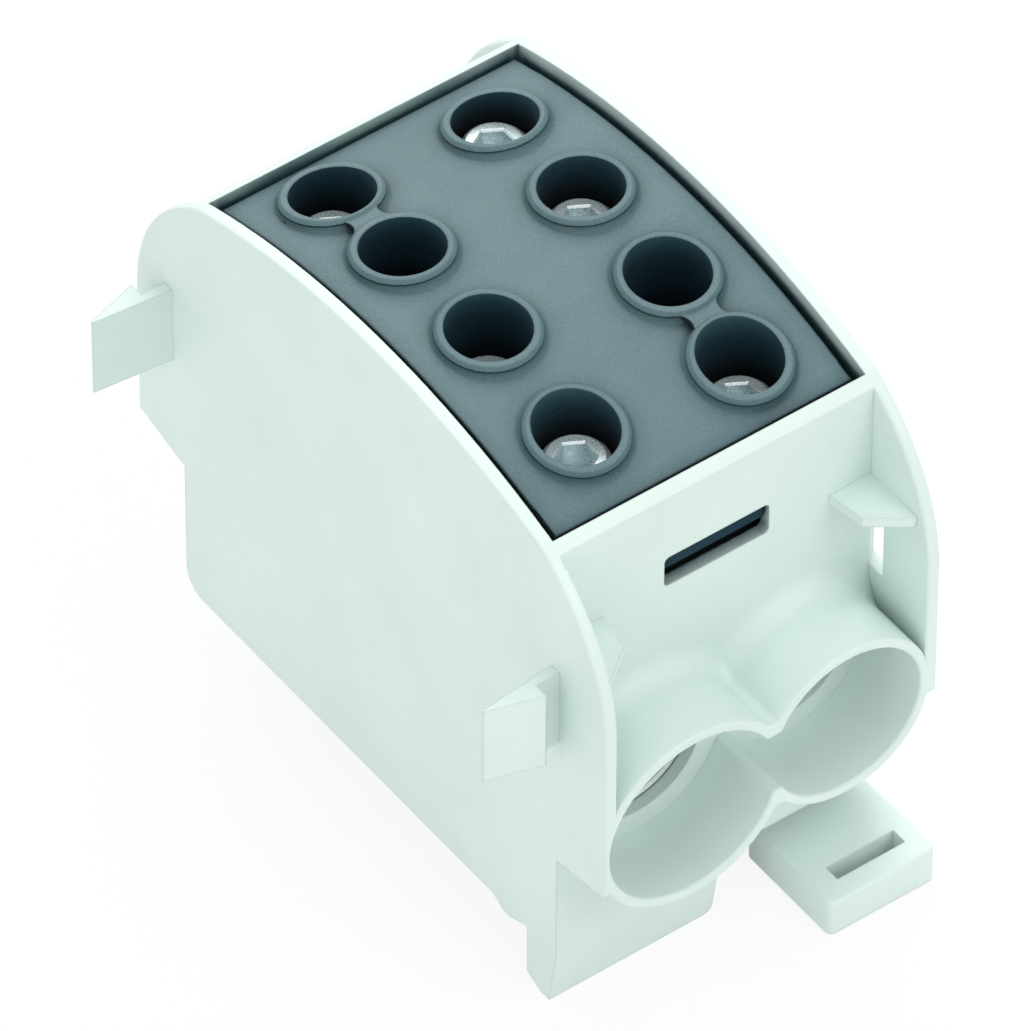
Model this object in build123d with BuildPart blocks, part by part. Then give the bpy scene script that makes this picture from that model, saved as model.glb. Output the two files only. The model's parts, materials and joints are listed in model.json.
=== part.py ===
from build123d import *
from math import asin, cos, sin, sqrt
import os

os.makedirs("parts", exist_ok=True)

# Frame: X runs along the mounting rail, -Y is the front end, Z is up.
# The origin is the middle of the block, on the plane that the rail is screwed to.
# Both ends are alike: turning the block half a turn about Z swaps them.
# A function's turn is 1 for the front end or the left wall and -1 for the other one.

# Conductor funnels: a wide and a narrow one at each end, run into each other
wide_z = 30.75
wide_r = 11.3
wide_lip = 1.3            # wall round the funnel
narrow_lift = 1.45        # the narrow funnel stands this much higher
narrow_r = 9.95
narrow_lip = 1.25
funnel_overlap = 0.45     # width by which the two circles run into each other
funnel_wall = 0.8         # between the wide funnel and the block's side face
link_bite = (1.8, 1.35)   # opening between them: how far it reaches into wide and narrow
link_lift = 1.15          # middle of the opening above the wide funnel's middle
link_half = 4.5
link_soft = 0.55
valley_soft = 1.0
wide_blend = 2.8          # fillet from the wide funnel's back to the panel
lip_soft = 0.35
column_x = (wide_r + narrow_r - funnel_overlap) / 2   # of funnels, bores and screws
narrow_z = wide_z + narrow_lift
wide_outer_r = wide_r + wide_lip
narrow_outer_r = narrow_r + narrow_lip
link_x = (wide_r - column_x - link_bite[0], column_x - narrow_r + link_bite[1])
link_z = (wide_z + link_lift - link_half, wide_z + link_lift + link_half)

# Housing body
half_width = column_x + wide_r + funnel_wall
width = 2 * half_width
side_wall = 1.6
panel_y = 32.9            # outer face of the end panels
end_wall = 1.5
base_y = 34.6             # outer face of the lower body's ends
base_z = 8.2              # underside
base_corner = 3.2         # rounding of the lower ends
base_top = wide_z - 3.75  # the lower body's ends run up behind the funnels
inner_x = half_width - side_wall
cavity_y = panel_y - end_wall

# Arched rim and the wings that stand proud of the end panels
arch_radius = 97.9
apex_z = 75.4
rim_y = 31.5              # where the arch meets a wing's curve
mouth_y = 43.3            # outer end of wings and funnels
wing_z = 49.2             # the wings curve back above this height
wide_edge_z = wide_z - 5.45         # wing's lower edge beside the wide funnel, at its tip
wide_edge_drop = 1.6                # and how much lower it starts at the body
narrow_edge_z = narrow_z - 2.3      # the same beside the narrow funnel
narrow_edge_drop = 2.6
rim_blend = 6.0           # rounding where the arch meets a wing's curve
arch_centre_z = apex_z - arch_radius
rim_z = arch_centre_z + sqrt(arch_radius ** 2 - rim_y ** 2)

# Current bar with two blind bores from each end
bar_gap = 0.25            # to the housing's walls
bar_z = wide_z - 11.25
bar_top_z = wide_z + 21.25
wide_bore_r = 8.3
narrow_bore_r = 7.1
bore_lead = 0.3           # chamfer at a bore's mouth
bore_entry = 0.2          # the panel's hole is this much wider than the bore
web_y = 2.2               # the web between two bores stands off the middle
web = 3.0

# Clamp screws: M8 with a hexagon socket, drawn at their outer diameter
screw_r = 4.0
thread_gap = 0.05
screw_length = 24.5
socket_flats = 4.0
socket_depth = 5.0
screw_lead = 0.6
tip_lead = 1.2
screw_y = (22.9, 9.97, -5.65, -21.4)       # left column, back to front
left_stand = (14.45, 14.0, 15.4, 16.3)     # screw tops above the bar, back to front
right_stand = (13.95, 13.5, 17.9, 16.95)   # front to back

# Cover: arched plate with a collared hole over each screw, and the tubes under it
recess = 1.2              # below the rim
cover_gap = 0.95
cover_end_gap = 0.9
cover_t = 2.0
plate_soft = 0.3
skirt = 1.2
skirt_depth = 3.5
hole_r = 4.9
tube_r = 5.9
tube_clear = 0.6          # tube's end above the bar
collar_top = 1.05         # lip above the plate
lip_r = 5.6
collar_r = 6.0
flare_r = 6.95
flare_foot = 0.45
bridge_waist = 1.9        # half width of the bridge between two close collars
bridge_root = (3.2, 1.7)
bridge_end = (2.5, 3.5)
bridge_drop = 0.15

# Slot in each end panel and the cover's snap that shows in it
slot_x = 7.05
slot_z = (bar_top_z + 3.6, bar_top_z + 8.0)
slot_soft = 0.7
snap_x = 6.7
snap_t = 1.2
snap_reach = 0.9          # nose into the slot
snap_play = 0.1
snap_nose = 2.1           # height of the nose's face
snap_ramp = 0.6           # below it the nose runs back to the tongue
snap_foot = 1.0           # tongue's end below the slot

# Ledges that the cover's skirt stands on
ledge_y = (24.0, 28.0)
ledge_x = 2.0

# Corner shelves between end panel and wing
shelf_z = 56.2
shelf_t = 1.4
shelf_root_x = 15.2
shelf_mid = (16.0, 37.7)
shelf_tip = (20.5, 41.1)

# Snap lugs on the left wall and the windows in the right wall that take a neighbour's lugs
lug_z = (42.9, 53.8)
lug_reach = 10.0
lug_y = (33.5, 36.3)      # inner faces at the wall, front and back
lug_lean = 1.0
neck_t = 1.45
neck_length = 3.1
barb = 1.85
lug_tip = 0.25
window_play = 1.9         # window's inner edge before the lug's inner face
window_width = 3.8
window_z = (41.9, 54.8)
window_soft = 0.4

# Foot, one at each end
foot_width = 22.2
foot_y = 29.3             # inner face
foot_taper = 1.2
foot_heel = (2.6, 1.1)    # slant of the inner lower edge, along Y and Z
foot_corner = 0.8
foot_end_corner = 1.2
nib_y = (23.2, 24.8, 26.1, 28.8)  # small nib under the body, before the foot
nib_z = 7.1

# Seat for a 35 mm mounting rail
rail_half = 17.5
rail_flange_z = (6.5, 7.5)
pad_y = 11.5
pad_x = 19.5
hook_x = 14.0
hook_reach = 1.6
hook_t = 3.2
hook_z = 4.4
hook_play = 0.2

# Sliding rail latch, front right, and the guides that carry it
latch_x = (7.8, 22.5)
latch_y = (44.3, 29.0)    # front edge and where it narrows
latch_z = (0.2, 5.2)
latch_corner = 0.9
latch_soft = 0.35
latch_step = 1.0          # shoulder where the grip narrows
key_slot_x = (10.85, 20.2)
key_slot_y = (41.6, 39.45)
tongue_x = (10.6, 19.6)
tongue_z = (2.6, 5.0)
tongue_end_y = 15.9
latch_hook_y = 19.2
guide_y = (27.5, 20.0)
guide_t = 1.2
guide_lip = 1.3
guide_lip_t = 1.3
slide_gap = 0.05
side_gap = 0.15


def arch_z(y, drop=0.0):
    """Height of the rim's arch, or of an arch that lies drop below it."""
    return arch_centre_z + sqrt((arch_radius - drop) ** 2 - y ** 2)


def end_plane(turn, distance):
    """Plane across an end, distance from the middle; the wide funnel is at its -X side."""
    return Plane(origin=(0, -turn * distance, 0), x_dir=(turn, 0, 0), z_dir=(0, -turn, 0))


def wall_plane(turn):
    """Outer face of a side wall, facing inwards; the wide funnel is at its -X side."""
    return Plane(origin=(-turn * half_width, 0, 0), x_dir=(0, turn, 0), z_dir=(turn, 0, 0))


def screw_places():
    """(x, y, top height) of the eight clamp screws."""
    left = [(-column_x, y, bar_top_z + stand) for y, stand in zip(screw_y, left_stand)]
    right = [(column_x, -y, bar_top_z + stand) for y, stand in zip(screw_y, right_stand)]
    return left + right


def side_outline():
    """Closed outline of a side wall, in the plane that wall_plane gives."""
    Polyline(
        (-base_y, base_z),
        (-base_y, wide_edge_z - wide_edge_drop),
        (-mouth_y, wide_edge_z),
        (-mouth_y, wing_z),
    )
    TangentArc((-mouth_y, wing_z), (-rim_y, rim_z), tangent=(0, 1))
    ThreePointArc((-rim_y, rim_z), (0, apex_z), (rim_y, rim_z))
    TangentArc((mouth_y, wing_z), (rim_y, rim_z), tangent=(0, 1))
    Polyline(
        (mouth_y, wing_z),
        (mouth_y, narrow_edge_z),
        (base_y, narrow_edge_z - narrow_edge_drop),
        (base_y, base_z + base_corner),
    )
    RadiusArc((base_y, base_z + base_corner), (base_y - base_corner, base_z), base_corner)
    Line((base_y - base_corner, base_z), (-base_y, base_z))


# Housing, one moulding
with BuildPart() as housing:
    # Body between the end panels
    with BuildSketch(wall_plane(1)) as body_side:
        with BuildLine():
            side_outline()
        make_face()
        with Locations((0, apex_z / 2)):
            Rectangle(2 * panel_y, apex_z, mode=Mode.INTERSECT)
        with Locations((0, (base_z + base_top) / 2)):
            Rectangle(2 * base_y, base_top - base_z)
        fillet(body_side.vertices().group_by(Axis.Y)[0], base_corner)
    extrude(amount=width)
    # Side walls with their wings
    for turn in (1, -1):
        with BuildSketch(wall_plane(turn)):
            with BuildLine():
                side_outline()
            make_face()
        extrude(amount=side_wall)
    # Round the rim where the arch meets the wings
    across = housing.edges().filter_by(Axis.X)
    fillet(across.filter_by(lambda e: abs(abs(e.center().Y) - rim_y) < 0.01), rim_blend)
    for turn in (1, -1):
        # Backs of the two funnels
        with BuildSketch(end_plane(turn, panel_y)) as backs:
            with Locations((-column_x, wide_z)):
                Circle(wide_outer_r)
            with Locations((column_x, narrow_z)):
                Circle(narrow_outer_r)
            with Locations((0, wide_z)):
                Rectangle(width, width, mode=Mode.INTERSECT)
            valleys = backs.vertices().sort_by_distance((0, wide_z))[:2]
            fillet(valleys, valley_soft)
        extrude(amount=mouth_y - panel_y)
    # Fillet between the wide funnel's back and the end panel
    blends = housing.edges().filter_by(GeomType.CIRCLE).filter_by(
        lambda e: abs(e.radius - wide_outer_r) < 0.01 and abs(abs(e.center().Y) - panel_y) < 0.01
    )
    fillet(blends.filter_by(lambda e: e.center().Z > wide_z + 5), wide_blend)
    for turn in (1, -1):
        # Inside of the two funnels, open to each other in the middle
        with BuildSketch(end_plane(turn, mouth_y)) as throats:
            with Locations((-column_x, wide_z)):
                Circle(wide_r)
            with Locations((column_x, narrow_z)):
                Circle(narrow_r)
            with Locations((sum(link_x) / 2, sum(link_z) / 2)):
                Rectangle(link_x[1] - link_x[0], link_z[1] - link_z[0])
            tips = throats.vertices().filter_by_position(Axis.X, link_x[0], link_x[1])
            fillet(tips, link_soft)
        extrude(amount=panel_y - mouth_y, mode=Mode.SUBTRACT)
        # Conductor holes through the end panel
        with BuildSketch(end_plane(turn, panel_y)):
            with Locations((-column_x, wide_z)):
                Circle(wide_bore_r + bore_entry)
            with Locations((column_x, narrow_z)):
                Circle(narrow_bore_r + bore_entry)
        extrude(amount=-end_wall, mode=Mode.SUBTRACT)
        # Slot for the cover's snap
        with BuildSketch(end_plane(turn, panel_y)) as slot:
            with Locations((0, sum(slot_z) / 2)):
                Rectangle(2 * slot_x, slot_z[1] - slot_z[0])
            fillet(slot.vertices(), slot_soft)
        extrude(amount=-end_wall, mode=Mode.SUBTRACT)
    # Chamber for the current bar, open to the top
    with BuildSketch(Plane.XY.offset(bar_z)):
        Rectangle(2 * inner_x, 2 * cavity_y)
    extrude(amount=apex_z, mode=Mode.SUBTRACT)
    # Soft outline all round the wings, the funnels' lips and the rim
    lips = housing.edges().filter_by(
        lambda e: e.bounding_box().min.Y > mouth_y - 0.01 or e.bounding_box().max.Y < 0.01 - mouth_y
    )
    fillet(lips, lip_soft)
    # Corner shelves
    with BuildSketch(Plane.XY.offset(shelf_z - shelf_t)):
        for side_x in (1, -1):
            for end in (1, -1):
                with BuildLine():
                    Polyline(
                        (side_x * inner_x, end * panel_y),
                        (side_x * shelf_root_x, end * panel_y),
                        (side_x * shelf_mid[0], end * shelf_mid[1]),
                        (side_x * shelf_tip[0], end * shelf_tip[1]),
                        (side_x * inner_x, end * shelf_tip[1]),
                        close=True,
                    )
                make_face()
    extrude(amount=shelf_t)
    # Snap lugs on the left wall
    for end, face_y in zip((-1, 1), lug_y):
        with BuildSketch(Plane.XY.offset(lug_z[0])):
            with BuildLine():
                Polyline(
                    (-half_width, end * face_y),
                    (-half_width - lug_reach, end * (face_y + lug_lean)),
                    (-half_width - lug_reach, end * (face_y + lug_lean + lug_tip)),
                    (-half_width - neck_length, end * (face_y + neck_t + barb)),
                    (-half_width - neck_length, end * (face_y + neck_t)),
                    (-half_width, end * (face_y + neck_t)),
                    close=True,
                )
            make_face()
        extrude(amount=lug_z[1] - lug_z[0])
    # Windows in the right wall
    with BuildSketch(Plane.YZ.offset(half_width)) as windows:
        for end, face_y in zip((-1, 1), lug_y):
            middle_y = face_y - window_play + window_width / 2
            with Locations((end * middle_y, sum(window_z) / 2)):
                Rectangle(window_width, window_z[1] - window_z[0])
        fillet(windows.vertices(), window_soft)
    extrude(amount=-side_wall, mode=Mode.SUBTRACT)
    for turn in (1, -1):
        # Foot, with the nib beside it
        with BuildSketch(wall_plane(turn)) as foot:
            with BuildLine():
                Polyline(
                    (-base_y, base_z + base_corner),
                    (-base_y, base_z),
                    (foot_taper - base_y, 0),
                    (-foot_y - foot_heel[0], 0),
                    (-foot_y, foot_heel[1]),
                    (-foot_y, base_z),
                    (-nib_y[3], base_z),
                    (-nib_y[2], nib_z),
                    (-nib_y[1], nib_z),
                    (-nib_y[0], base_z),
                    (-nib_y[0], base_z + base_corner),
                    close=True,
                )
            make_face()
            fillet(foot.vertices().sort_by_distance((-foot_y, foot_heel[1]))[0], foot_corner)
        extrude(amount=foot_width)
        # Rounded lower corner at the foot's free end
        with BuildSketch(end_plane(turn, foot_y)):
            with Locations((foot_width - half_width - foot_end_corner / 2, foot_end_corner / 2)):
                Rectangle(foot_end_corner, foot_end_corner)
            with Locations((foot_width - half_width - foot_end_corner, foot_end_corner)):
                Circle(foot_end_corner, mode=Mode.SUBTRACT)
        extrude(amount=base_y - foot_y, mode=Mode.SUBTRACT)
    # Pads under the rail's flanges
    with BuildSketch(Plane.XY.offset(rail_flange_z[1])):
        with GridLocations(0, rail_half + pad_y, 1, 2):
            Rectangle(2 * pad_x, rail_half - pad_y)
    extrude(amount=base_z - rail_flange_z[1])
    # Fixed hook over the rail's rear flange
    with BuildSketch(Plane.YZ.offset(-hook_x)):
        with BuildLine():
            Polyline(
                (rail_half + hook_play, base_z),
                (rail_half + hook_play, rail_flange_z[0] - hook_play),
                (rail_half - hook_reach, rail_flange_z[0] - hook_play),
                (rail_half - hook_reach, rail_flange_z[0] - hook_reach),
                (rail_half + hook_play, hook_z),
                (rail_half + hook_t, hook_z),
                (rail_half + hook_t, base_z),
                close=True,
            )
        make_face()
    extrude(amount=2 * hook_x)
    # Guides for the latch, with lips under its tongue
    for edge, outward in ((tongue_x[0], -1), (tongue_x[1], 1)):
        with BuildSketch(Plane.XZ.offset(guide_y[1])):
            with BuildLine():
                wall_x = edge + outward * side_gap
                lip_z = tongue_z[0] - slide_gap
                Polyline(
                    (wall_x, base_z),
                    (wall_x, lip_z),
                    (edge - outward * guide_lip, lip_z),
                    (edge - outward * guide_lip, lip_z - guide_lip_t),
                    (wall_x + outward * guide_t, lip_z - guide_lip_t),
                    (wall_x + outward * guide_t, base_z),
                    close=True,
                )
            make_face()
        extrude(amount=guide_y[0] - guide_y[1])
    # Ledges for the cover's skirt
    with BuildSketch(Plane.XY.offset(bar_top_z)):
        for side_x in (1, -1):
            for end in (1, -1):
                with Locations((side_x * (inner_x - ledge_x / 2), end * sum(ledge_y) / 2)):
                    Rectangle(ledge_x, ledge_y[1] - ledge_y[0])
    extrude(amount=arch_z(ledge_y[1], recess) - cover_t - skirt_depth - bar_top_z)

# Current bar
with BuildPart() as current_bar:
    with BuildSketch(Plane.XY.offset(bar_z)):
        Rectangle(2 * (inner_x - bar_gap), 2 * (cavity_y - bar_gap))
    extrude(amount=bar_top_z - bar_z)
    bar_y = cavity_y - bar_gap
    for turn in (1, -1):
        # Wide bore from this end and the narrow one beside it
        for x, z, radius, floor_y in (
            (-column_x, wide_z, wide_bore_r, web / 2 - web_y),
            (column_x, narrow_z, narrow_bore_r, web / 2 + web_y),
        ):
            with BuildSketch(end_plane(turn, bar_y)):
                with Locations((x, z)):
                    Circle(radius)
            extrude(amount=floor_y - bar_y, mode=Mode.SUBTRACT)
    # Threaded holes from the top into the bores
    for x, y, top in screw_places():
        with BuildSketch(Plane.XY.offset(bar_top_z)):
            with Locations((x, y)):
                Circle(screw_r + thread_gap)
        extrude(amount=wide_z - bar_top_z, mode=Mode.SUBTRACT)
    mouths = current_bar.edges().filter_by(GeomType.CIRCLE).filter_by(
        lambda e: abs(abs(e.center().Y) - bar_y) < 0.01
    )
    chamfer(mouths, bore_lead)

# Clamp screws
screws = []
for x, y, top in screw_places():
    with BuildPart() as screw:
        with BuildSketch(Plane.XY.offset(top)):
            with Locations((x, y)):
                Circle(screw_r)
        extrude(amount=-screw_length)
        chamfer(screw.edges().group_by(Axis.Z)[-1], screw_lead)
        chamfer(screw.edges().group_by(Axis.Z)[0], tip_lead)
        with BuildSketch(Plane.XY.offset(top)):
            with Locations((x, y)):
                RegularPolygon(socket_flats / 2, 6, major_radius=False)
        extrude(amount=-socket_depth, mode=Mode.SUBTRACT)
    screws.append(screw)

# Sliding rail latch
with BuildPart() as rail_latch:
    latch_middle = sum(latch_x) / 2
    with BuildSketch(Plane.XY.offset(latch_z[0])) as grip:
        with Locations((latch_middle, -sum(latch_y) / 2)):
            Rectangle(latch_x[1] - latch_x[0], latch_y[0] - latch_y[1])
        fillet(grip.vertices(), latch_corner)
    extrude(amount=latch_z[1] - latch_z[0])
    fillet(rail_latch.edges().group_by(Axis.Z)[-1], latch_soft)
    # Tongue that runs back between the guides
    with BuildSketch(Plane.XY.offset(tongue_z[0])):
        with BuildLine():
            Polyline(
                (latch_x[0] + latch_step, -latch_y[1] - latch_step),
                (latch_x[0] + latch_step, -latch_y[1]),
                (tongue_x[0], -latch_y[1] + latch_step),
                (tongue_x[0], -tongue_end_y),
                (tongue_x[1], -tongue_end_y),
                (tongue_x[1], -latch_y[1] + latch_step),
                (latch_x[1] - latch_step, -latch_y[1]),
                (latch_x[1] - latch_step, -latch_y[1] - latch_step),
                close=True,
            )
        make_face()
    extrude(amount=tongue_z[1] - tongue_z[0])
    # Hook that grips the rail's front flange
    with BuildSketch(Plane.YZ.offset(tongue_x[0] + guide_lip)):
        with BuildLine():
            Polyline(
                (-latch_hook_y, tongue_z[1]),
                (-latch_hook_y, rail_flange_z[0] - hook_play),
                (-tongue_end_y - hook_reach / 2, rail_flange_z[0] - hook_play),
                (-tongue_end_y, tongue_z[1]),
                close=True,
            )
        make_face()
    extrude(amount=tongue_x[1] - tongue_x[0] - 2 * guide_lip)
    # Slot for a screwdriver
    with BuildSketch(Plane.XY.offset(latch_z[0])):
        with Locations((sum(key_slot_x) / 2, -sum(key_slot_y) / 2)):
            Rectangle(key_slot_x[1] - key_slot_x[0], key_slot_y[0] - key_slot_y[1])
    extrude(amount=latch_z[1] - latch_z[0], mode=Mode.SUBTRACT)

# Cover
with BuildPart() as cover:
    cover_x = inner_x - cover_gap
    cover_y = cavity_y - cover_end_gap
    # Arched plate with a skirt under its edge
    with BuildSketch(Plane.YZ.offset(-cover_x)):
        with BuildLine():
            ThreePointArc(
                (-cover_y, arch_z(cover_y, recess)),
                (0, arch_z(0, recess)),
                (cover_y, arch_z(cover_y, recess)),
            )
            Line((cover_y, arch_z(cover_y, recess)), (cover_y, arch_z(cover_y, recess + cover_t)))
            ThreePointArc(
                (cover_y, arch_z(cover_y, recess + cover_t)),
                (0, arch_z(0, recess + cover_t)),
                (-cover_y, arch_z(cover_y, recess + cover_t)),
            )
            Line((-cover_y, arch_z(cover_y, recess + cover_t)), (-cover_y, arch_z(cover_y, recess)))
        make_face()
    extrude(amount=2 * cover_x)
    fillet(cover.faces().sort_by(Axis.Z)[-1].edges(), plate_soft)
    skirt_foot = arch_z(ledge_y[1], recess) - cover_t - skirt_depth
    with BuildSketch(Plane.XY.offset(skirt_foot)):
        Rectangle(2 * cover_x, 2 * cover_y)
        Rectangle(2 * (cover_x - skirt), 2 * (cover_y - skirt), mode=Mode.SUBTRACT)
    extrude(until=Until.NEXT)
    # Raised collars, square to the arch
    for x, y, top in screw_places():
        tilt = asin(y / (arch_radius - recess))
        foot = (x, y, arch_z(y, recess))
        axis_plane = Plane(origin=foot, x_dir=(1, 0, 0), z_dir=(0, -cos(tilt), sin(tilt)))
        with BuildSketch(axis_plane):
            with BuildLine():
                Polyline(
                    (flare_r, -flare_foot),
                    (flare_r, -cover_t / 2),
                    (0, -cover_t / 2),
                    (0, collar_top),
                    (lip_r, collar_top),
                )
                Polyline(
                    (lip_r, collar_top),
                    (collar_r, collar_top - (collar_r - lip_r)),
                    (collar_r, flare_foot),
                )
                ThreePointArc(
                    (collar_r, flare_foot),
                    ((2 * collar_r + flare_r) / 3, 0),
                    (flare_r, -flare_foot),
                )
            make_face()
        revolve(axis=Axis(foot, (0, sin(tilt), cos(tilt))))
    # Bridge between the two collars that stand close together
    for turn in (1, -1):
        bridge_x = -turn * column_x
        bridge_y = turn * (screw_y[0] + screw_y[1]) / 2
        tilt = asin(bridge_y / (arch_radius - recess))
        crown = Plane(
            origin=(bridge_x, bridge_y, arch_z(bridge_y, recess + cover_t / 2)),
            x_dir=(1, 0, 0),
            z_dir=(0, sin(tilt), cos(tilt)),
        )
        with BuildSketch(crown):
            with BuildLine():
                ThreePointArc(
                    (bridge_root[0], -bridge_root[1]), (bridge_waist, 0), (bridge_root[0], bridge_root[1])
                )
                Polyline(
                    (bridge_root[0], bridge_root[1]),
                    (bridge_end[0], bridge_end[1]),
                    (-bridge_end[0], bridge_end[1]),
                    (-bridge_root[0], bridge_root[1]),
                )
                ThreePointArc(
                    (-bridge_root[0], bridge_root[1]), (-bridge_waist, 0), (-bridge_root[0], -bridge_root[1])
                )
                Polyline(
                    (-bridge_root[0], -bridge_root[1]),
                    (-bridge_end[0], -bridge_end[1]),
                    (bridge_end[0], -bridge_end[1]),
                    (bridge_root[0], -bridge_root[1]),
                )
            make_face()
        extrude(amount=cover_t / 2 + collar_top - bridge_drop)
    # Holes for the key
    with BuildSketch(Plane.XY.offset(bar_top_z)):
        for x, y, top in screw_places():
            with Locations((x, y)):
                Circle(hole_r)
    extrude(amount=apex_z, mode=Mode.SUBTRACT)
    # Snap at each end: a tongue with a nose that stands in the panel's slot
    nose_y = cavity_y + snap_reach
    nose_z = slot_z[1] - snap_play
    tongue_foot_z = slot_z[0] - snap_foot
    for turn in (1, -1):
        with BuildSketch(Plane.YZ.offset(-snap_x)):
            with BuildLine():
                Polyline(
                    (-turn * cover_y, arch_z(cover_y, recess + cover_t)),
                    (-turn * cover_y, nose_z),
                    (-turn * nose_y, nose_z),
                    (-turn * nose_y, nose_z - snap_nose),
                    (-turn * cover_y, nose_z - snap_nose - snap_ramp),
                    (-turn * cover_y, tongue_foot_z),
                    (-turn * (cover_y - snap_t), tongue_foot_z),
                    (-turn * (cover_y - snap_t), arch_z(cover_y, recess + cover_t)),
                    close=True,
                )
            make_face()
        extrude(amount=2 * snap_x)

# Tubes under the cover that lead a key to the screws
with BuildPart() as key_tubes:
    with BuildSketch(Plane.XY.offset(bar_top_z + tube_clear)):
        for x, y, top in screw_places():
            with Locations((x, y)):
                Circle(tube_r)
                Circle(hole_r, mode=Mode.SUBTRACT)
    extrude(amount=apex_z - bar_top_z)
    # Their tops follow the underside of the arched plate
    with BuildSketch(Plane.YZ.offset(-cover_x)):
        with Locations((0, arch_centre_z)):
            Circle(arch_radius - recess - cover_t)
    extrude(amount=2 * cover_x, mode=Mode.INTERSECT)

housing.part.label = "housing"
export_step(housing.part, "parts/housing.step")
current_bar.part.label = "current_bar"
export_step(current_bar.part, "parts/current_bar.step")
cover.part.label = "cover"
export_step(cover.part, "parts/cover.step")
key_tubes.part.label = "key_tubes"
export_step(key_tubes.part, "parts/key_tubes.step")
rail_latch.part.label = "rail_latch"
export_step(rail_latch.part, "parts/rail_latch.step")
for number, screw in enumerate(screws, start=1):
    name = f"clamp_screw_{number}"
    screw.part.label = name
    export_step(screw.part, f"parts/{name}.step")
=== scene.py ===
import json
from math import cos, sin, pi, radians

import bmesh
import bpy
from mathutils import Matrix, Vector

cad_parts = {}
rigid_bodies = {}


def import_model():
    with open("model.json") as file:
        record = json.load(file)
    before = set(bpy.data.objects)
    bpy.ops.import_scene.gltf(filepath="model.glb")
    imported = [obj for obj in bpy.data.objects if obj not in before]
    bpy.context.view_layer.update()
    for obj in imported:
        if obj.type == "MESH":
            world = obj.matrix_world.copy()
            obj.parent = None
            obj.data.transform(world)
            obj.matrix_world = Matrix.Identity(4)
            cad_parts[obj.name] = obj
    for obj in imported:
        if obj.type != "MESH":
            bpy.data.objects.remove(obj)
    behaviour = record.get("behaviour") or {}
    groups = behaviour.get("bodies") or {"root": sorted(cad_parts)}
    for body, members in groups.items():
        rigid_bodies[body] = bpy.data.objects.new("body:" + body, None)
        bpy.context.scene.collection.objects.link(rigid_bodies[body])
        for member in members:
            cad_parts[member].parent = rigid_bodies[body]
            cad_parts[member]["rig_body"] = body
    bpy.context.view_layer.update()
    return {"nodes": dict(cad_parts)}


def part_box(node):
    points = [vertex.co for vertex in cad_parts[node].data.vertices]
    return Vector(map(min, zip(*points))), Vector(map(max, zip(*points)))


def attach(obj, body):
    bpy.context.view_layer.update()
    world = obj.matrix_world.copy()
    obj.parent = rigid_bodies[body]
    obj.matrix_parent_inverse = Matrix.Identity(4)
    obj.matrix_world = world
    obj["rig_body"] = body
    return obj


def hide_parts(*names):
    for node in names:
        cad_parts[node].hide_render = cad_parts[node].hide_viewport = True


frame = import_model()
nodes = frame["nodes"]
scene = bpy.context.scene
MM = 0.001
WHITE = (1.0, 1.0, 1.0)

# Camera, fitted to the photograph: angles from -Y and from the floor, lengths in millimetres
AZIMUTH, ELEVATION, ROLL = radians(36.5624), radians(46.3356), radians(0.1831)
DISTANCE = 1623.4252
OFFSET_RIGHT, OFFSET_UP = -2.1761, 24.0116
FOCAL_PIXELS = 14565.2773
IMAGE_CENTRE = (513.4051, 514.9295)
IMAGE_SIZE = 1031
SENSOR = 36.0
CLIP = (0.05, 20.0)       # nearest and farthest that the camera sees, in metres


def place_camera():
    """A long lens that looks down on the front left corner."""
    out = Vector((-sin(AZIMUTH) * cos(ELEVATION), -cos(AZIMUTH) * cos(ELEVATION), sin(ELEVATION)))
    level = Vector((cos(AZIMUTH), -sin(AZIMUTH), 0.0))
    upright = out.cross(level)
    right = cos(ROLL) * level + sin(ROLL) * upright
    up = cos(ROLL) * upright - sin(ROLL) * level
    eye = (OFFSET_RIGHT * right + OFFSET_UP * up + DISTANCE * out) * MM

    data = bpy.data.cameras.new("camera")
    data.sensor_fit = "HORIZONTAL"
    data.sensor_width = SENSOR
    data.lens = FOCAL_PIXELS / IMAGE_SIZE * SENSOR
    data.shift_x = (IMAGE_SIZE / 2 - IMAGE_CENTRE[0]) / IMAGE_SIZE
    data.shift_y = (IMAGE_CENTRE[1] - IMAGE_SIZE / 2) / IMAGE_SIZE
    data.clip_start, data.clip_end = CLIP
    camera = bpy.data.objects.new("camera", data)
    scene.collection.objects.link(camera)
    camera.matrix_world = Matrix.Translation(eye) @ Matrix((right, up, out)).transposed().to_4x4()
    scene.camera = camera


place_camera()
scene.view_settings.view_transform = "Standard"


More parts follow.
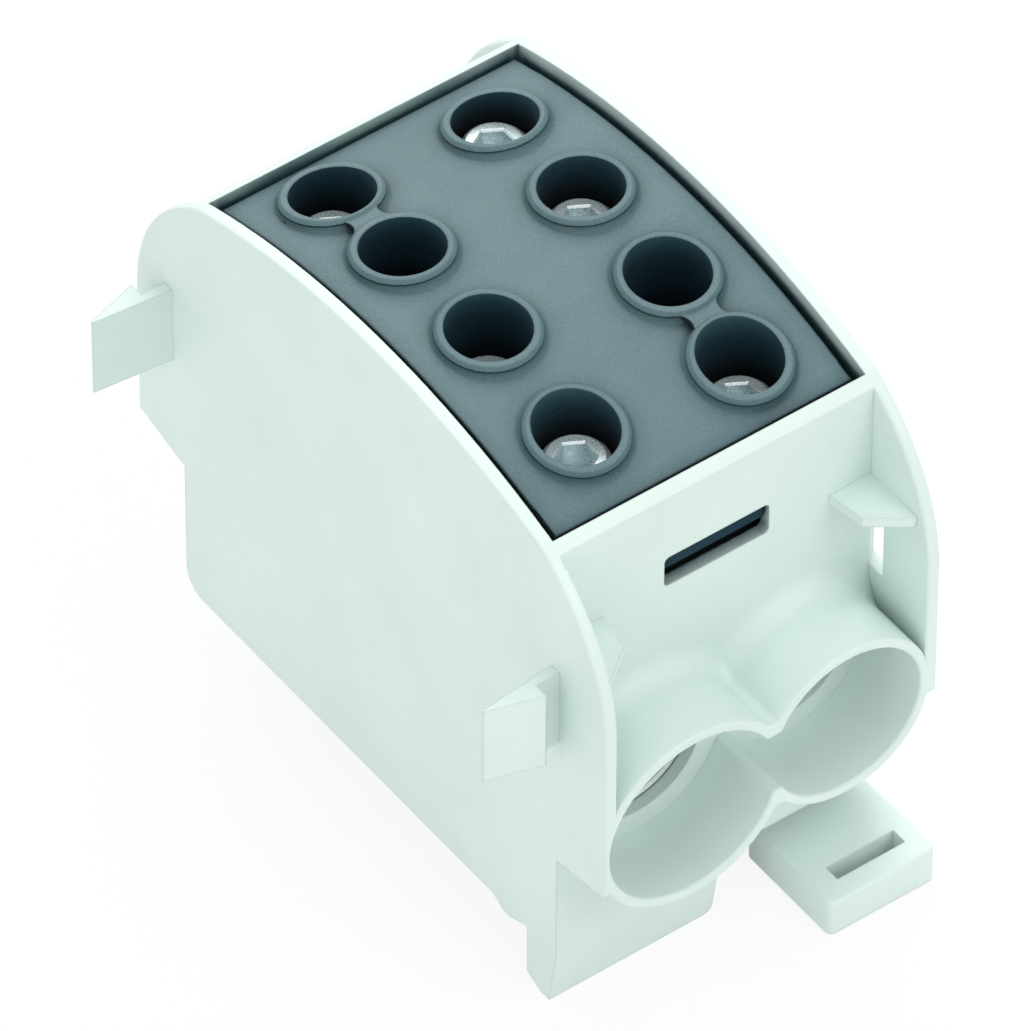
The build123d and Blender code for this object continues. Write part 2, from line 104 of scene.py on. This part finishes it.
# Shader nodes
class Nodes:
    """A node tree with short calls for the few nodes used here."""

    def __init__(self, owner, output):
        owner.use_nodes = True
        self.tree = owner.node_tree
        self.tree.nodes.clear()
        self.output = self.tree.nodes.new(output)

    def add(self, kind, settings=None, **inputs):
        """A new node; an input is given a value or the socket that feeds it."""
        node = self.tree.nodes.new(kind)
        for key, value in (settings or {}).items():
            setattr(node, key, value)
        for key, value in inputs.items():
            self.feed(node.inputs[key.replace("_", " ")], value)
        return node

    def feed(self, socket, value):
        if isinstance(value, bpy.types.NodeSocket):
            self.tree.links.new(value, socket)
        else:
            socket.default_value = value

    def surface(self, shader):
        self.feed(self.output.inputs["Surface"], shader)

    def place(self):
        return self.add("ShaderNodeTexCoord").outputs["Object"]

    def noise(self, place, scale, detail=3.0, rough=0.5):
        """Noise from 0 to 1; the scale is in patches per metre."""
        return self.add("ShaderNodeTexNoise", Vector=place, Scale=scale, Detail=detail,
                        Roughness=rough).outputs["Fac"]

    def span(self, value, low, high, start=0.0, end=1.0):
        """The value's range from start to end, stretched to the one from low to high."""
        return self.add("ShaderNodeMapRange", Value=value, From_Min=start, From_Max=end,
                        To_Min=low, To_Max=high).outputs["Result"]

    def math(self, kind, a, b):
        node = self.add("ShaderNodeMath", {"operation": kind})
        self.feed(node.inputs[0], a)
        self.feed(node.inputs[1], b)
        return node.outputs["Value"]

    def colours(self, value, *stops):
        node = self.add("ShaderNodeValToRGB", Fac=value)
        ramp = node.color_ramp
        while len(ramp.elements) < len(stops):
            ramp.elements.new(1.0)
        for element, (at, colour) in zip(ramp.elements, stops):
            element.position = at
            element.color = (*colour, 1.0)
        return node.outputs["Color"]

    def times(self, colour, share):
        """One colour multiplied by another."""
        node = self.add("ShaderNodeMix", {"data_type": "RGBA", "blend_type": "MULTIPLY"})
        for socket, value in zip((node.inputs[0], node.inputs[6], node.inputs[7]), (1.0, colour, share)):
            self.feed(socket, value)
        return node.outputs[2]

    def bump(self, height, distance, normal):
        """A normal bent by a height; the distance is in millimetres."""
        return self.add("ShaderNodeBump", Height=height, Distance=distance * MM, Strength=1.0,
                        Normal=normal).outputs["Normal"]

    def soft_edges(self, radius):
        """A normal that rounds the edges; the radius is in millimetres."""
        return self.add("ShaderNodeBevel", {"samples": 4}, Radius=radius * MM).outputs["Normal"]

    def openness(self, reach, start, end):
        """0 deep in a gap, hole or recess and 1 on an open surface; the reach is in millimetres."""
        node = self.add("ShaderNodeAmbientOcclusion", {"samples": 5}, Distance=reach * MM)
        return self.span(node.outputs["AO"], 0.0, 1.0, start, end)

    def beyond(self, half_x, half_y, low):
        """0 inside an upright box about the Z axis, above a height, and 1 outside it, in millimetres."""
        x, y, z = self.add("ShaderNodeSeparateXYZ", Vector=self.place()).outputs
        wide = self.math("GREATER_THAN", self.math("ABSOLUTE", x, 0.0), half_x * MM)
        far = self.math("GREATER_THAN", self.math("ABSOLUTE", y, 0.0), half_y * MM)
        under = self.math("LESS_THAN", z, low * MM)
        return self.math("MAXIMUM", self.math("MAXIMUM", wide, far), under)

    def flatness(self, start, end):
        """Rises from start on an upright surface to end on one that faces up."""
        normal = self.add("ShaderNodeTexCoord").outputs["Normal"]
        height = self.add("ShaderNodeSeparateXYZ", Vector=normal).outputs["Z"]
        return self.span(height, 0.0, 1.0, start, end)

    def shaded(self, colour, light, floor):
        """Painted shade: the colour, darkened towards the floor colour as the painted light falls from 1 to
        0.
        """
        middle = tuple(c ** SHADE_CURVE for c in floor)
        return self.times(colour, self.colours(light, (0.0, floor), (0.5, middle), (1.0, WHITE)))

    def seen_directly(self):
        """1 for rays from the camera and those mirrored or let through, 0 for the light that things cast."""
        rays = self.add("ShaderNodeLightPath").outputs
        direct = self.math("MAXIMUM", rays["Is Camera Ray"], rays["Is Glossy Ray"])
        return self.math("MAXIMUM", direct, rays["Is Transmission Ray"])

    def glossy(self, colour, roughness, normal, **constants):
        """The usual surface shader with constants such as IOR and Metallic."""
        shader = self.add("ShaderNodeBsdfPrincipled", Base_Color=colour, Roughness=roughness, Normal=normal,
                          **constants)
        self.surface(shader.outputs["BSDF"])


def new_material(name):
    """An empty material and its nodes."""
    material = bpy.data.materials.new(name)
    return material, Nodes(material, "ShaderNodeOutputMaterial")


def srgb(r, g, b):
    """Linear colour of an 8-bit one."""
    def one(v):
        v /= 255.0
        return v / 12.92 if v <= 0.04045 else ((v + 0.055) / 1.055) ** 2.4
    return one(r), one(g), one(b)


# Materials, with painted shade; a floor colour is the share of the light left where the painted shade is
# darkest
SHADE_CURVE = 0.2                     # how early a hidden surface darkens
# Painted shade: the housing is darkened in the recess round the cover, inside this box.
RECESS = (21.0, 32.8, 53.0)           # box round the housing's recess: half width, half length, foot
# Painted shade: the cover's snaps, outside this box in the panels' slots, are painted dark.
BETWEEN_PANELS = (40.0, 31.4, 0.0)    # the same, inside the end panels' inner faces
NOSE_PAINTED_LIGHT = 0.10                     # light on the cover's snaps, in the panels' slots
# Painted shade on the collars: a contact shadow at their foot and darker steep flanks.
COLLAR_FOOT_SHADE = (0.10, 0.14, 0.16)
COLLAR_FLANK_SHADE = (0.10, 0.20, 0.24)
NOISE_LOW, NOISE_HIGH = 0.3, 0.7      # the noise seldom leaves this range
HIDDEN_ROUGH, OPEN_ROUGH = 1.0, 0.3   # least roughness, in hidden places and in the open


def painted_recess_light(n):
    """Painted shade on the housing: light from ambient occlusion, less in the recess round the cover."""
    return n.math("MAXIMUM", n.openness(reach=5.0, start=0.34, end=0.60), n.beyond(*RECESS))


def painted_hole_light(n):
    """Painted shade on the cover: light from ambient occlusion, less in its holes and on the snaps outside
    the end panels.
    """
    noses = n.span(n.beyond(*BETWEEN_PANELS), 1.0, NOSE_PAINTED_LIGHT)
    return n.math("MINIMUM", n.openness(reach=14.0, start=0.38, end=0.74), noses)


def moulded(name, shades, speckle, light, floor, rough, wave, grain, edge, collars=False, **constants):
    """Moulded plastic: faint mottling, fine spark-eroded grain, slow waviness, and painted shade where light
    is low.
    """
    material, n = new_material(name)
    place = n.place()
    cloud = n.noise(place, scale=55.0, detail=4.0, rough=0.55)
    speck = n.noise(place, scale=5200.0, detail=2.0, rough=0.6)
    mix = n.math("ADD", n.math("MULTIPLY", cloud, 1.0 - speckle), n.math("MULTIPLY", speck, speckle))
    colour = n.colours(mix, (NOISE_LOW, shades[0]), (0.5, shades[1]), (NOISE_HIGH, shades[2]))
    # Painted shade: the colour is darkened where the light mask is low, and the surface made rougher there.
    painted_light_share = light(n)
    colour = n.shaded(colour, painted_light_share, floor)
    # Painted shade at the collars' foot, from ambient occlusion, and on their steep flanks.
    if collars:
        colour = n.shaded(colour, n.openness(reach=3.0, start=0.62, end=0.98), COLLAR_FOOT_SHADE)
        colour = n.shaded(colour, n.flatness(start=-0.80, end=1.05), COLLAR_FLANK_SHADE)
    roughness = n.span(n.noise(place, scale=180.0), *rough, NOISE_LOW, NOISE_HIGH)
    roughness = n.math("MAXIMUM", roughness, n.span(painted_light_share, HIDDEN_ROUGH, OPEN_ROUGH))
    normal = n.bump(n.noise(place, scale=38.0, detail=1.0), wave, n.soft_edges(edge))
    normal = n.bump(speck, grain, normal)
    n.glossy(colour, roughness, normal, **constants)
    return material


def metal(name, shades, rough, scratch, edge, **constants):
    """Plated metal: cloudy tone and a fine, uneven grain."""
    material, n = new_material(name)
    place = n.place()
    cloud = n.noise(place, scale=400.0, detail=5.0, rough=0.6)
    fine = n.noise(place, scale=4200.0, detail=3.0, rough=0.6)
    colour = n.colours(cloud, (NOISE_LOW, shades[0]), (NOISE_HIGH, shades[1]))
    roughness = n.span(fine, *rough, NOISE_LOW, NOISE_HIGH)
    n.glossy(colour, roughness, n.bump(fine, scratch, n.soft_edges(edge)), **constants)
    return material


housing_plastic = moulded(
    "housing_plastic",
    shades=(srgb(213, 228, 222), srgb(217, 232, 226), srgb(221, 236, 230)), speckle=0.2,
    # Painted shade in the recess round the cover, darkest at this floor colour.
    light=painted_recess_light, floor=(0.005, 0.05, 0.08),
    rough=(0.40, 0.52), wave=0.10, grain=0.012, edge=0.3, IOR=1.50,
)
cover_plastic = moulded(
    "cover_plastic",
    shades=((0.082, 0.154, 0.170), (0.116, 0.192, 0.209), (0.150, 0.230, 0.248)), speckle=0.65,
    # Painted shade in the holes, on the snaps and at the collars, darkest at this floor colour.
    light=painted_hole_light, floor=(0.005, 0.17, 0.26), collars=True,
    rough=(0.42, 0.52), wave=0.06, grain=0.085, edge=0.5, IOR=1.50, Specular_IOR_Level=0.35,
)
screw_steel = metal(
    "screw_steel",
    shades=(srgb(214, 232, 236), srgb(240, 250, 252)),
    rough=(0.24, 0.34), scratch=0.010, edge=0.1, Metallic=0.55,
)
tinned_bar = metal(
    "tinned_bar",
    shades=(srgb(222, 232, 228), srgb(238, 246, 242)),
    rough=(0.42, 0.55), scratch=0.014, edge=0.2, Metallic=0.15,
)
MATERIALS = {"cover": cover_plastic, "key_tubes": cover_plastic, "current_bar": tinned_bar,
             "housing": housing_plastic, "rail_latch": housing_plastic}

for name, node in nodes.items():
    node.data.materials.clear()
    node.data.materials.append(MATERIALS.get(name, screw_steel))

# Clamp screws, M8 with a hexagon socket, in millimetres
SCREW_R = 4.0
PITCH = 1.25
THREAD_DEPTH = 0.68
GROOVE_HALF = 0.44        # half of a groove's width, as a share of the pitch
TIP_LEAD, TOP_LEAD = 1.2, 0.7
SOCKET_FLATS, SOCKET_DEPTH = 4.0, 5.0
SOCKET_LEAD = (0.28, 0.22)            # outwards and down
DRILL_TIP = 0.9                       # cone below the socket's floor
AROUND = 48                           # points on a ring
RINGS_A_TURN = 8
SHARP = radians(32)
ANGLES = [2 * pi * i / AROUND for i in range(AROUND)]


def hexagon_radius(angle):
    """From the socket's middle to its wall."""
    step = pi / 3
    return SOCKET_FLATS / 2 / cos((angle + step / 2) % step - step / 2)


def thread_radius(angle, above_foot, below_top):
    """Radius of the thread, or of the lead at the foot or the top where that is less."""
    phase = (above_foot / PITCH - angle / (2 * pi)) % 1.0
    groove = THREAD_DEPTH * max(0.0, 1.0 - abs(phase - 0.5) / GROOVE_HALF)
    return min(SCREW_R - groove, SCREW_R - TIP_LEAD + above_foot, SCREW_R - TOP_LEAD + below_top)


def ring(bm, radii, z):
    """A row of points round the screw, one for each of the angles."""
    return [bm.verts.new((r * cos(a) * MM, r * sin(a) * MM, z * MM)) for r, a in zip(radii, ANGLES)]


def join(bm, lower, upper):
    """Faces between two rings."""
    for i, j in zip(range(AROUND), [*range(1, AROUND), 0]):
        bm.faces.new((lower[i], lower[j], upper[j], upper[i]))


def screw_mesh(name, foot, top):
    """The screw from its flat foot up the thread, over the top and down into the socket."""
    bm = bmesh.new()
    length = top - foot
    steps = int(length / PITCH * RINGS_A_TURN)
    rings = []
    for k in range(steps + 1):
        above_foot = length * k / steps
        radii = [thread_radius(a, above_foot, length - above_foot) for a in ANGLES]
        rings.append(ring(bm, radii, foot + above_foot))
    flats = [hexagon_radius(a) for a in ANGLES]
    rings.append(ring(bm, [r + SOCKET_LEAD[0] for r in flats], top))
    rings.append(ring(bm, flats, top - SOCKET_LEAD[1]))
    rings.append(ring(bm, flats, top - SOCKET_DEPTH))
    for lower, upper in zip(rings, rings[1:]):
        join(bm, lower, upper)
    bm.faces.new(list(reversed(rings[0])))
    tip = bm.verts.new((0, 0, (top - SOCKET_DEPTH - DRILL_TIP) * MM))
    for i, j in zip(range(AROUND), [*range(1, AROUND), 0]):
        bm.faces.new((rings[-1][i], rings[-1][j], tip))
    bmesh.ops.recalc_face_normals(bm, faces=bm.faces)
    mesh = bpy.data.meshes.new(name)
    bm.to_mesh(mesh)
    bm.free()
    return mesh


def thread_screw(name):
    """A threaded screw in the place of the plain CAD one."""
    low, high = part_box(name)
    mesh = screw_mesh(name + "_threaded", low.z / MM, high.z / MM)
    mesh.transform(Matrix.Translation(((low.x + high.x) / 2, (low.y + high.y) / 2, 0.0)))
    mesh.materials.append(screw_steel)
    mesh.set_sharp_from_angle(angle=SHARP)
    for polygon in mesh.polygons:
        polygon.use_smooth = True
    piece = bpy.data.objects.new(name + "_threaded", mesh)
    scene.collection.objects.link(piece)
    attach(piece, nodes[name]["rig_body"])
    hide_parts(name)


for name in sorted(nodes):
    if name.startswith("clamp_screw"):
        thread_screw(name)

# Floor and world
FLOOR_HALF = 3.0
FLOOR_DROP = 0.0001
FLOOR_WHITE = 0.88        # share of plain white that the camera sees
FLOOR_SHADES = ((0.86, 0.865, 0.865), (0.88, 0.885, 0.885))


def floor_material():
    """Pale, with the part's shadow, and nearly white to the camera."""
    material, n = new_material("floor")
    tone = n.colours(n.noise(n.place(), scale=3.0), *zip((NOISE_LOW, NOISE_HIGH), FLOOR_SHADES))
    diffuse = n.add("ShaderNodeBsdfDiffuse", Color=tone)
    white = n.add("ShaderNodeEmission", Color=(*WHITE, 1.0), Strength=1.0)
    mix = n.add("ShaderNodeMixShader", Fac=n.math("MULTIPLY", n.seen_directly(), FLOOR_WHITE))
    n.feed(mix.inputs[1], diffuse.outputs["BSDF"])
    n.feed(mix.inputs[2], white.outputs["Emission"])
    n.surface(mix.outputs["Shader"])
    return material


def lay_floor():
    corners = [(x * FLOOR_HALF, y * FLOOR_HALF, 0.0) for x, y in ((-1, -1), (1, -1), (1, 1), (-1, 1))]
    mesh = bpy.data.meshes.new("floor")
    mesh.from_pydata(corners, [], [(0, 1, 2, 3)])
    mesh.materials.append(floor_material())
    floor = bpy.data.objects.new("floor", mesh)
    floor.location.z = -FLOOR_DROP
    scene.collection.objects.link(floor)


lay_floor()


def light_world():
    """White behind the part, and a little dimmer where it lights the part."""
    world = bpy.data.worlds.new("studio")
    scene.world = world
    n = Nodes(world, "ShaderNodeOutputWorld")
    plain = n.add("ShaderNodeBackground", Color=(0.97, 1.0, 0.99, 1.0), Strength=0.78)
    white = n.add("ShaderNodeBackground", Color=(*WHITE, 1.0), Strength=1.0)
    mix = n.add("ShaderNodeMixShader", Fac=n.seen_directly())
    n.feed(mix.inputs[1], plain.outputs["Background"])
    n.feed(mix.inputs[2], white.outputs["Background"])
    n.surface(mix.outputs["Shader"])


light_world()


# Lamps, in metres and watts
LAMPS_AIM = (0.0, 0.0, 0.04)


def lamp(name, place, size, watts):
    """A round soft lamp aimed at the middle of the part."""
    data = bpy.data.lights.new(name, "AREA")
    data.shape = "DISK"
    data.size = size
    data.energy = watts
    lamp_object = bpy.data.objects.new(name, data)
    aim = Vector(LAMPS_AIM) - Vector(place)
    lamp_object.location = place
    lamp_object.rotation_euler = aim.to_track_quat("-Z", "Y").to_euler()
    scene.collection.objects.link(lamp_object)


lamp("back_light", (0.42, 0.62, 0.62), 0.8, 3.6)
lamp("top_light", (0.05, 0.00, 1.1), 0.5, 1.5)
lamp("left_light", (-0.85, -0.25, 0.45), 0.5, 1.1)
lamp("front_light", (0.33, -0.86, 0.78), 0.7, 2.7)
